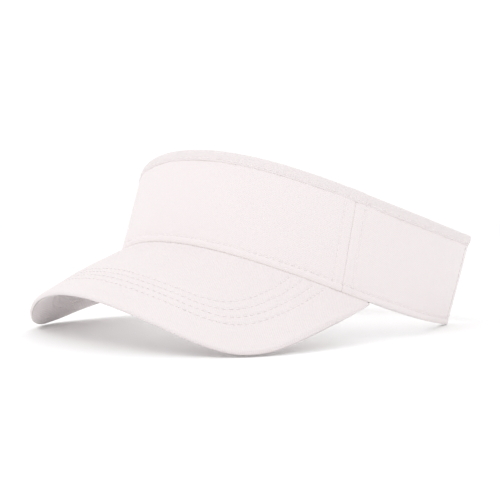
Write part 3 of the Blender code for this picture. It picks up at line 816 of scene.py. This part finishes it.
def side_wall(p, u_rows, reach, under, phi_rows, phis_side, lower=False, still=0, inwards=()):
    """Adds columns at both ends of a brim cover that carry it round the brim's two side edges. Rows before still only move outwards."""
    out = []
    for end in (0, -1):
        sgn = -1.0 if end == 0 else 1.0
        uu_e = sgn * u_rows
        r_e = np.clip(reach, 0.0, None)
        n_e = brim_normal(uu_e, r_e)
        e = 1e-3
        a_e = (brim_plain(uu_e + e, r_e) - brim_plain(uu_e - e, r_e)) * sgn
        a_e /= np.linalg.norm(a_e, axis=-1, keepdims=True)
        cols = []
        for j, phi in enumerate(phis_side):
            if lower:
                eff = np.minimum(phi_rows, phi)
                half = np.where(phi_rows >= math.pi - 1e-6, under - 0.0020, ROLL)
                new = 0.0020 - half * np.cos(eff)
            else:
                eff = np.maximum(phi_rows, phi)
                half = np.where(phi_rows <= 1e-6, 0.0020 - under, ROLL)
                new = 0.0020 - half * np.cos(eff)
            k = np.maximum(np.abs(np.cos(phi_rows)), 0.25)
            new[:still] = under[:still]
            new[-1] = under[-1]
            col = p[:, end] + n_e * (under - new)[:, None] + a_e * (SIDE_R * math.sin(phi) * k)[:, None]
            for i, inward in enumerate(inwards):
                goal_i = on_band(sgn * u_rows[i] * BRIM_END, 0.0005, inward)
                col[i] = p[i, end] + (goal_i - p[i, end]) * (j + 1) / len(phis_side)
            cols.append(col)
        cols = np.stack(cols, 1)
        out.append(cols[:, ::-1] if end == 0 else cols)
    return np.concatenate([out[0], p, out[1]], axis=1)


def side_uv(uv, count):
    step = 0.0004 * np.arange(1, count + 1)[None, :, None] * np.array([1.0, 0.0])
    return np.concatenate([(uv[:, :1] - step)[:, ::-1], uv, uv[:, -1:] + step], axis=1)


def edge_open(u, dist, side_u):
    """How deep the top face lies under the brim's own surface at a distance in from the edge: the covers close in past the board."""
    side_dist = (BRIM_TRIM - np.abs(side_u)) * BRIM_END * HALF_LENGTH * 1.1 + ROLL
    t = np.clip(1 - (np.minimum(dist, side_dist) - ROLL) / 0.0036, 0, 1)
    return 0.5 * (THICK_IN - THICK_EDGE) * t * t * (3 - 2 * t)


def row_relief(points, tree, arcs, owner):
    """Grooves along the rows of stitching, deeper at the needle holes, with puckers beside them."""
    flat = points.reshape(-1, 3)
    near = np.empty(len(flat))
    along = np.empty(len(flat))
    which = np.empty(len(flat), int)
    for i, p in enumerate(flat):
        _, j, d = tree.find(p)
        near[i], along[i], which[i] = d, arcs[j], owner[j]
    near, along, which = (x.reshape(points.shape[:2]) for x in (near, along, which))
    beat = 0.88 + 0.12 * np.cos(2 * math.pi * along / PITCH)
    relief = groove(near, 0.00027, 0.00075) * beat
    relief = relief + 0.00012 * waves(61, along, which * 0.03, 0.0100, 2) * np.exp(-((near - 0.0012) / 0.0016) ** 2) * (1 - np.exp(-((near / 0.0006) ** 2)))
    return relief


tree_pts, tree_arc, tree_own = [], [], []
for k, (ru, rr, ra) in enumerate(ROWS):
    tree_pts.append(on_brim(ru, rr, 0.0))
    tree_arc.append(ra)
    tree_own.append(np.full(len(ru), k))
tree_pts, tree_arc, tree_own = np.concatenate(tree_pts), np.concatenate(tree_arc), np.concatenate(tree_own)
row_tree = KDTree(len(tree_pts))
for i, p in enumerate(tree_pts):
    row_tree.insert(p, i)
row_tree.balance()

cols_u = BRIM_TRIM * np.sin(math.pi / 2 * np.linspace(-1, 1, BRIM_COLS))
root_gap = -0.0001
ROLL = 0.00155
n_in = 140


def brim_uv(u, reach):
    """Position in the brim cover's weave: flat cloth laid over the brim, so it follows the plan and not the ruling lines."""
    p = brim_plain(u, reach)
    return np.stack([p[..., 0], -p[..., 1] * 1.15], -1)


# the top cover: from the seam at the band out to the edge, then rolled round the edge to the seam under it
# rows of the grid are closer together where the stitching runs
fine_v = np.linspace(0, 1, 2001)
weight = 1 + 1.3 / (1 + np.exp(-(fine_v - 0.50) / 0.03)) * (1 - 1 / (1 + np.exp(-(fine_v - 0.86) / 0.02))) + 1.5 * (fine_v > 0.985) + 1.5 * (fine_v < 0.02)
weight = np.concatenate([[0], np.cumsum((weight[1:] + weight[:-1]) / 2)])
inner_v = np.interp(np.linspace(0, weight[-1], n_in), weight, fine_v)
phis = np.radians([12, 25, 40, 55, 70, 85, 100, 115, 128])
flat_u, vv = np.meshgrid(cols_u, inner_v, indexing="xy")
# towards the band the side edges run on in the same curve as the front edge
uu = flat_u * (1 + 0.0125 * (1 - vv**3.6))
far = brim_reach(uu) - ROLL
reach_in = root_gap + (far - root_gap) * vv
under_in = edge_open(uu, brim_reach(uu) - reach_in, flat_u)
surface = on_brim(uu, reach_in, 0.0)
rel_rows = row_relief(surface, row_tree, tree_arc, tree_own)
pu = brim_uv(uu, reach_in)


def brim_broad(u, reach, seed, size):
    """The covers' slight unevenness between their seams."""
    q = brim_uv(u, reach)
    fade = np.clip(reach / 0.008, 0, 1) * np.clip((brim_reach(u) - reach) / 0.006, 0.15, 1)
    return size * waves(seed, q[..., 0], q[..., 1], 0.055, 3) * fade


# the cover turns down into the seam at the band
tuck = 0.0006 * (1 - np.sqrt(np.maximum(1 - (1 - np.clip((reach_in - root_gap) / 0.0016, 0, 1)) ** 2, 0)))
top_relief = rel_rows + brim_broad(uu, reach_in, 71, 0.00030)
edge_uv = pu
phi_u, phi_v = np.meshgrid(cols_u, phis, indexing="xy")
depth0 = 0.5 * (THICK_IN - THICK_EDGE)
roll_reach = brim_reach(phi_u) - ROLL + ROLL * np.sin(phi_v)
roll_under = depth0 + ROLL * (1 - np.cos(phi_v))
edge_wave = 0.00010 * waves(72, brim_plain(phi_u, brim_reach(phi_u))[..., 0], brim_plain(phi_u, brim_reach(phi_u))[..., 1], 0.012, 3)
roll_reach = roll_reach + edge_wave * np.sin(phi_v)
tuck_u = cols_u[None, :]
tuck_reach = brim_reach(tuck_u) - ROLL * 0.75
tuck_under = np.full_like(tuck_reach, depth0 + ROLL * 1.45)
all_u = np.concatenate([uu, phi_u, tuck_u])
all_reach = np.concatenate([reach_in, roll_reach, tuck_reach])
all_under = np.concatenate([under_in + tuck - top_relief, roll_under, tuck_under])
top_face = on_brim(all_u, all_reach, all_under)
phi_rows = np.concatenate([np.zeros(n_in), phis, [phis[-1]]])
PHI_TOP = np.radians([18, 38, 58, 78, 98, 115, 128])
top_face = side_wall(top_face, all_u[:, -1], all_reach[:, -1], all_under[:, -1], phi_rows, PHI_TOP)
outer_face = world(top_face)
rows_n = len(all_u)
COVER_T = 0.0008


def cover(name, outer_face, uv, up_first, closed, skip=0):
    n = normals(outer_face)
    want = turn_only(brim_normal(all_u[: n_in, :], all_reach[: n_in, :]))[5:40]
    trim = (n.shape[1] - want.shape[1]) // 2
    sign = float((n[5 + skip : 40 + skip, trim : trim + want.shape[1]] * want).sum(-1).mean())
    flip = (sign < 0) if up_first else (sign > 0)
    if flip:
        n = -n
    mid = outer_face - n * (COVER_T / 2)
    half = np.full(outer_face.shape[:2], COVER_T / 2)
    return slab(name, mid, half, uv, twill_brim, flip, nrm=n, closed=closed, lined=False)


uv_top = np.concatenate([pu, brim_uv(phi_u, brim_reach(phi_u) - ROLL + ROLL * phi_v * 0.9), brim_uv(tuck_u, brim_reach(tuck_u) + ROLL)])
uv_top = side_uv(uv_top, len(PHI_TOP))
brim_top = cover("brim_top_twill", outer_face, uv_top, True, (True, True, True, True))
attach(brim_top, "crown")
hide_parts("brim_top_cover")

# points over the brim, from its own surface
gu, gv = np.meshgrid(cols_u, np.linspace(0, 1, 60), indexing="xy")
gp = on_brim(gu, root_gap + (brim_reach(gu) - root_gap) * gv, 0.0)

# the bottom cover: its outer face looks down
b_under = THICK_IN - under_in
low_rel = rel_rows * 0.9
tuck_b = 0.0004 * (1 - np.sqrt(np.maximum(1 - (1 - np.clip((reach_in - root_gap) / 0.0016, 0, 1)) ** 2, 0)))
in_face = on_brim(uu, reach_in, b_under - tuck_b + low_rel + brim_broad(uu, reach_in, 81, 0.00022))
phis_b = np.radians([168, 156, 146, 138])
pb_u, pb_v = np.meshgrid(cols_u, phis_b, indexing="xy")
pb = on_brim(pb_u, brim_reach(pb_u) - ROLL + ROLL * np.sin(pb_v), depth0 + ROLL * (1 - np.cos(pb_v)))
tb = on_brim(tuck_u, brim_reach(tuck_u) - ROLL * 0.70, np.full_like(tuck_reach, depth0 + ROLL * 1.62))
# its root goes on past the seam and turns up behind the sweatband
share_u = uu[:1] * BRIM_END
back_rows = []
start_p, second_p = in_face[0], in_face[2]
goal = on_band(share_u[0], 0.0005, 0.0046)
lead = start_p - second_p
lead /= np.linalg.norm(lead, axis=-1, keepdims=True)
for t in (1.0, 0.82, 0.64, 0.46, 0.30, 0.14):
    q1 = start_p + lead * 0.0018
    q2 = goal + np.array([0.0, 0.0, -0.0014])
    back_rows.append(((1 - t) ** 3 * start_p + 3 * (1 - t) ** 2 * t * q1 + 3 * (1 - t) * t * t * q2 + t**3 * goal)[None])
back = np.concatenate(back_rows)
low_band = np.concatenate([back, in_face, pb, tb])
low_reach = np.concatenate([np.zeros(6), reach_in[:, -1], (brim_reach(pb_u) - ROLL + ROLL * np.sin(pb_v))[:, -1], [float(tuck_reach[0, -1])]])
low_under = np.concatenate([np.full(6, THICK_IN), b_under[:, -1], (depth0 + ROLL * (1 - np.cos(pb_v)))[:, -1], [depth0 + ROLL * 1.62]])
low_phi = np.concatenate([np.full(6 + n_in, math.pi), phis_b, [phis_b[-1]]])
PHI_LOW = np.radians([168, 156, 146, 138])
low_u = np.concatenate([np.full(6, uu[0, -1]), uu[:, -1], np.full(len(phis_b) + 1, BRIM_TRIM)])
low_face = world(side_wall(low_band, low_u, low_reach, low_under, low_phi, PHI_LOW, lower=True, still=6, inwards=0.0046 * np.array([0.98, 0.82, 0.64, 0.46, 0.30, 0.14])))
uv_back = np.stack([np.broadcast_to(pu[0, :, 0], (6, BRIM_COLS)), pu[0, :, 1] - np.array([5.0, 4.2, 3.4, 2.5, 1.6, 0.8])[:, None] * MM], -1)
uv_low = np.concatenate([uv_back, pu, brim_uv(pb_u, brim_reach(pb_u) - ROLL * 0.4), brim_uv(tuck_u, brim_reach(tuck_u))])
uv_low = side_uv(uv_low, len(PHI_LOW))
brim_low = cover("brim_bottom_twill", low_face, uv_low, False, (True, True, True, True), skip=6)
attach(brim_low, "crown")
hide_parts("brim_bottom_cover")

# the board between them
bu = 0.985 * BRIM_TRIM * np.sin(math.pi / 2 * np.linspace(-1, 1, 150))
bd = np.concatenate([[0, 0.00008, 0.0003, 0.0008], np.linspace(0.003, 1.0, 30)])
bU, bV = np.meshgrid(bu, np.linspace(0, 1, 34), indexing="xy")
b_far = np.maximum(brim_reach(bU) - 0.0042, 0.0016)
b_reach = 0.0014 + (b_far - 0.0014) * (1 - (1 - bV) ** 1.3)
b_mid = world(on_brim(bU, b_reach, 0.0020))
b_edge = np.minimum(b_far - b_reach, b_reach - 0.0014) + 0.00003
nb = normals(b_mid)
want = turn_only(brim_normal(bU, b_reach))
b_flip = float((nb * want).sum(-1).mean()) < 0
board = slab("brim_board_core", b_mid, edge_profile(b_edge, 0.0013), brim_uv(bU, b_reach), board_mat, b_flip)
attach(board, "crown")
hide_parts("brim_board")

for k, (ru, rr, ra) in enumerate(ROWS):
    nrm = brim_normal(ru, rr)
    face = on_brim(ru, rr, 0.00017 - brim_broad(ru, rr, 71, 0.00030))
    under = on_brim(ru, rr, THICK_IN - 0.00012 + brim_broad(ru, rr, 81, 0.00022))
    top_run = (world(face), turn_only(nrm))
    low_run = (world(under), -turn_only(nrm))
    o = stitches("brim_row_stitching_%d" % (k + 1), [top_run, low_run], sewing, PITCH, radius=0.00020, lift=0.00010)
    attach(o, "crown")
    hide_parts("brim_stitch_row_%d" % (k + 1))

# ================================================================== straps and their closure
STRAP_T = 0.0015


def strap_cloth(name, side, step, end, mat):
    p, d, hinge_at = strap_plan(side, step, end)
    total = d[-1]
    cols = ticks(total, 0.0008, (), ROUND_MARKS)
    H = STRAP_HIGH - STRAP_LOW
    rows = ticks(H, 0.0014, [(0.0022, 0.0010, 0.0003), (H - 0.0022, 0.0010, 0.0003)], ROUND_MARKS)
    vv, cc = np.meshgrid(rows, cols, indexing="ij")
    x = np.interp(cc, d, p[:, 0])
    y = np.interp(cc, d, p[:, 1])
    z = STRAP_LOW + vv
    mid = world(np.stack([x, y, z], -1))
    n = normals(mid)
    beat = 0.72 + 0.28 * np.cos(2 * math.pi * cc / PITCH)
    line = np.minimum(np.abs(vv - 0.0022), np.abs(H - vv - 0.0022))
    thin = -groove(line, 0.00018, 0.0006) * beat
    edge = np.minimum(np.minimum(vv, H - vv), np.minimum(cc, total - cc)) + 0.00002
    half = edge_profile(edge, STRAP_T) - thin * 0.6
    out = world(np.stack([x, y + 0.001, z], -1)) - mid
    flip = float((n * out)[:, -60:].sum(-1).mean()) < 0
    half = np.maximum(half, 0.0001)
    ripple = 0.00010 * waves(91 + side, cc, vv, 0.016, 3)
    mid = mid + (n if not flip else -n) * ripple[..., None]
    o = slab(name, mid, half, np.stack([cc, vv], -1), mat, flip)
    return o, p, d, hinge_at, total


def strap_runs(p, d, a0, a1, heights, both=True):
    a = np.linspace(a0, a1, 400)
    x, y = np.interp(a, d, p[:, 0]), np.interp(a, d, p[:, 1])
    g = np.stack([np.gradient(x), np.gradient(y)], -1)
    g /= np.linalg.norm(g, axis=1, keepdims=True)
    n2 = np.stack([-g[:, 1], g[:, 0], np.zeros(len(a))], -1)
    out = []
    for h in heights:
        c = np.stack([x, y, np.full(len(a), h)], -1)
        for s in ((1, -1) if both else (1,)):
            out.append((world(c + n2 * s * (STRAP_T / 2 - 0.0001)), turn_only(n2 * s)))
    return out


strap_pts = {}
for side, word in WINGS.items():
    step = -side * STRAP_STEP
    end = LEFT_END if side > 0 else TAB_ROOT - 0.0002
    o, p, d, at, total = strap_cloth(word + "_strap_cloth", side, step, end, twill)
    h1 = at + 0.0045
    b = np.array([np.interp(h1, d, p[:, 0]), np.interp(h1, d, p[:, 1]), 0.0407])
    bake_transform(o)
    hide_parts("strap_anchor_" + word, word + "_strap")
    runs = strap_runs(p, d, 0.0030, total - 0.0010, (STRAP_LOW + 0.0022, STRAP_HIGH - 0.0022))
    s = stitches(word + "_strap_stitching", runs, sewing, PITCH)
    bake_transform(s)
    # box of stitching where the strap is sewn to the inside of the hem
    z0, z1 = STRAP_LOW + 0.0040, STRAP_HIGH - 0.0040
    box = []
    for c in (0.0022, at - 0.0050):
        zz = np.linspace(z0, z1, 120)
        x, y = np.interp(c, d, p[:, 0]), np.interp(c, d, p[:, 1])
        x2, y2 = np.interp(c + 0.0005, d, p[:, 0]), np.interp(c + 0.0005, d, p[:, 1])
        g = np.array([x2 - x, y2 - y]) / math.hypot(x2 - x, y2 - y)
        n2 = np.array([-g[1], g[0], 0.0]) * (1 if side > 0 else -1)
        n2 = n2 if (n2[0] * -x + n2[1] * -y) > 0 else -n2
        pts = np.stack([np.full(120, x), np.full(120, y), zz], -1) + n2 * (STRAP_T / 2 - 0.0001)
        box.append((world(pts), turn_only(np.broadcast_to(n2, pts.shape))))
    s = stitches("strap_box_stitching_" + word, box, sewing, PITCH)
    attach(s, word + "_wing")
    strap_pts[side] = (p, d, at, total)


def flat_cloth(name, x0, x1, z0, z1, y, thick, mat, bend_in=0.0, seed=5):
    """A flat piece across the back between two x and two heights, its outer face towards +y."""
    L, H = abs(x1 - x0), z1 - z0
    cols = ticks(L, 0.0008, (), ROUND_MARKS)
    rows = ticks(H, 0.0012, [(0.0022, 0.0010, 0.0003), (H - 0.0022, 0.0010, 0.0003)] if thick > 0.0012 else (), ROUND_MARKS)
    v, c = np.meshgrid(rows, cols, indexing="ij")
    x = x0 + (x1 - x0) * c / L
    pts = np.stack([x, np.full_like(x, y) + 0.00004 * waves(seed, c, v, 0.014, 3), z0 + v], -1)
    mid = world(pts)
    n = normals(mid)
    out = turn_only(np.broadcast_to(np.array([0.0, 1.0, 0.0]), mid.shape))
    flip = float((n * out).sum(-1).mean()) < 0
    edge = np.minimum(np.minimum(v, H - v), np.minimum(c, L - c)) + 0.00002
    half = edge_profile(edge, thick)
    if thick > 0.0012:
        line = np.minimum(np.abs(v - 0.0022), np.abs(H - v - 0.0022))
        half = np.maximum(half + groove(line, 0.00011, 0.0006) * (0.72 + 0.28 * np.cos(2 * math.pi * c / PITCH)), 0.0001)
    return slab(name, mid, half, np.stack([c, v], -1), mat, flip)


def row_on_back(x0, x1, z0, z1, y, out=1.0):
    n = 200
    pts = np.stack([np.linspace(x0, x1, n), np.full(n, y), np.linspace(z0, z1, n)], -1)
    return world(pts), turn_only(np.broadcast_to(np.array([0.0, out, 0.0]), pts.shape))


tab_y = STRAP_BACK + STRAP_STEP
tab = flat_cloth("hook_tab_cloth", TAB_ROOT + 0.0002, TAB_END, STRAP_LOW, STRAP_HIGH, tab_y, STRAP_T, twill, seed=95)
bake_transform(tab)
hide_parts("hook_tab")
runs = [row_on_back(TAB_ROOT + 0.0012, TAB_END - 0.0010, z, z, tab_y + STRAP_T / 2 - 0.0001) for z in (STRAP_LOW + 0.0022, STRAP_HIGH - 0.0022)]
runs += [row_on_back(TAB_END - 0.0022, TAB_END - 0.0022, STRAP_LOW + 0.0040, STRAP_HIGH - 0.0040, tab_y + STRAP_T / 2 - 0.0001)]
o = stitches("hook_tab_stitching", runs, sewing, PITCH)
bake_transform(o)

# hook pad on the tab's inner face: a woven base with rows of small hooks
z0, z1 = STRAP_LOW + 0.0024, STRAP_HIGH - 0.0024
base_y = tab_y - 0.0008 - 0.0003 - 0.0002
pad = flat_cloth("hook_pad_base", -0.0106, 0.0250, z0, z1, base_y, 0.0005, hook_base, seed=96)
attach(pad, "tab")
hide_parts("hook_pad")

V, F, U, b = [], [], [], 0
ang = np.linspace(0, 2 * math.pi, 5, endpoint=False)
nx, nz = ((23, 14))
for i, hx in enumerate(np.linspace(-0.0096, 0.0240, nx)):
    for j, hz in enumerate(np.linspace(z0 + 0.0009, z1 - 0.0009, nz)):
        lean_dir = 1 if (i + j) % 2 else -1
        t = np.linspace(0, 1, 6)
        turn = t * math.radians(205)
        cx = hx + lean_dir * 0.00026 * (1 - np.cos(turn))
        cy = base_y - 0.00018 - 0.00034 * np.sin(np.minimum(turn, math.pi / 2)) - 0.00022 * np.maximum(np.sin(turn), -0.3) * (turn > 0)
        c = np.stack([cx, cy, np.full(6, hz)], -1)
        g = np.gradient(c, axis=0)
        g /= np.linalg.norm(g, axis=1, keepdims=True)
        s = np.array([0.0, 0.0, 1.0])
        w = np.cross(g, s)
        ring = c[:, None] + s * (np.cos(ang)[None, :, None] * 0.00009) + w[:, None] * (np.sin(ang)[None, :, None] * 0.00009)
        V.append(world(ring).reshape(-1, 3))
        U.append(np.stack(np.broadcast_arrays(t[:, None] * 0.001, ang[None] * 0.0001), -1).reshape(-1, 2))
        k = np.arange(30).reshape(6, 5)
        kk = np.roll(k, -1, axis=1)
        F.append(np.stack([k[:-1], kk[:-1], kk[1:], k[1:]], -1).reshape(-1, 4) + b)
        b += 30
o = make_object("hook_pad_hooks", np.concatenate(V), np.concatenate(F), np.concatenate(U), hook_plastic)
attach(o, "tab")

# loop pad on the left strap's outer face: a raised pile
L_y = STRAP_BACK - STRAP_STEP + 0.0008 + 0.0003
L0, L1 = LEFT_END + 0.0015, 0.0420
cols = ticks(L1 - L0, 0.0006, (), ROUND_MARKS)
rows = ticks(z1 - z0, 0.0006, (), ROUND_MARKS)
v, c = np.meshgrid(rows, cols, indexing="ij")
pile = 0.00085 + 0.00010 * waves(97, c, v, 0.0022, 3)
edge = np.minimum(np.minimum(v, z1 - z0 - v), np.minimum(c, L1 - L0 - c)) + 0.00002
q = np.clip(edge / 0.0006, 0, 1)
half = 0.5 * pile * np.sqrt(np.maximum(1 - (1 - q) ** 2, 0.02))
pts = np.stack([L0 + c, L_y + half, z0 + v], -1)
mid = world(pts)
n = normals(mid)
flip = float((n * turn_only(np.array([0.0, 1.0, 0.0]))).sum(-1).mean()) < 0
o = slab("loop_pad_pile", mid, half, np.stack([c, v], -1), loops, flip)
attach(o, "left_strap_body")
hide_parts("loop_pad")

# ================================================================== floor, light and camera
scene = bpy.context.scene
bpy.ops.mesh.primitive_plane_add(size=1.0)
floor = bpy.context.object
floor.name = "floor"
floor.scale = (60.0, 60.0, 1.0)
fmat, fnt, fb = node_tree("studio_floor")
fg = Net(fnt)
ftc = fnt.nodes.new("ShaderNodeTexCoord")
fgrain = fg.noise(ftc.outputs["Object"], 90.0, 2.0)
fnt.links.new(fg.ramp(fgrain, (0.965, 0.965, 0.965), (0.985, 0.985, 0.985)), fb.inputs["Base Color"])
fb.inputs["Roughness"].default_value = 0.9
fb.inputs["Specular IOR Level"].default_value = 0.0
floor.data.materials.append(fmat)

w = bpy.data.worlds.new("studio")
scene.world = w
w.use_nodes = True
bg = w.node_tree.nodes.get("Background") or w.node_tree.nodes.new("ShaderNodeBackground")
bg.inputs["Color"].default_value = (1.0, 1.0, 1.0, 1)
bg.inputs["Strength"].default_value = 1.04


def area(name, loc, target, size, power, colour=(1, 1, 1)):
    light = bpy.data.lights.new(name, "AREA")
    light.shape = "DISK"
    light.size = size
    light.energy = power
    light.color = colour
    o = bpy.data.objects.new(name, light)
    scene.collection.objects.link(o)
    o.location = loc
    o.rotation_euler = (Vector(target) - Vector(loc)).to_track_quat("-Z", "Y").to_euler()
    return o


AZ, EL, ROLL_DEG = math.radians(46.1276), math.radians(1.9131), math.radians(0.4792)
back = np.array([math.sin(AZ) * math.cos(EL), -math.cos(AZ) * math.cos(EL), math.sin(EL)])
right = np.array([math.cos(AZ), math.sin(AZ), 0.0])
upv = np.array([-math.sin(AZ) * math.sin(EL), math.cos(AZ) * math.sin(EL), math.cos(EL)])
S_PX = 1683.49
cam_at = SHIFT + 0.514508 * back - (251.8406 - 250) / S_PX * right + (296.0897 - 250) / S_PX * upv
cr, sr = math.cos(ROLL_DEG), math.sin(ROLL_DEG)
r2, u2 = cr * right - sr * upv, sr * right + cr * upv
cam = bpy.data.cameras.new("camera")
cam.lens = 1683.49 * 0.514508 / 500 * 36
cam.sensor_width = 36
cam.clip_start = 0.01
camo = bpy.data.objects.new("camera", cam)
scene.collection.objects.link(camo)
m = Matrix(((r2[0], u2[0], back[0], cam_at[0]), (r2[1], u2[1], back[1], cam_at[1]), (r2[2], u2[2], back[2], cam_at[2]), (0, 0, 0, 1)))
camo.matrix_world = m
scene.camera = camo

centre_at = (0.0, 0.0, 0.045)
key = np.array(centre_at) + 1.1 * (0.55 * back - 0.95 * right + 1.25 * np.array([0, 0, 1.0]))
area("key_light", key, centre_at, 0.9, 4.6)
fill = np.array(centre_at) + 1.3 * (1.1 * back + 0.9 * right + 0.55 * np.array([0, 0, 1.0]))
area("fill_light", fill, centre_at, 1.4, 1.6)
rim = np.array(centre_at) + 1.2 * (-0.9 * back + 0.2 * right + 1.4 * np.array([0, 0, 1.0]))
area("top_light", rim, centre_at, 1.2, 1.5)

scene.view_settings.view_transform = "Standard"
scene.view_settings.look = "None"
scene.view_settings.exposure = 0.0
scene.view_settings.gamma = 1.0
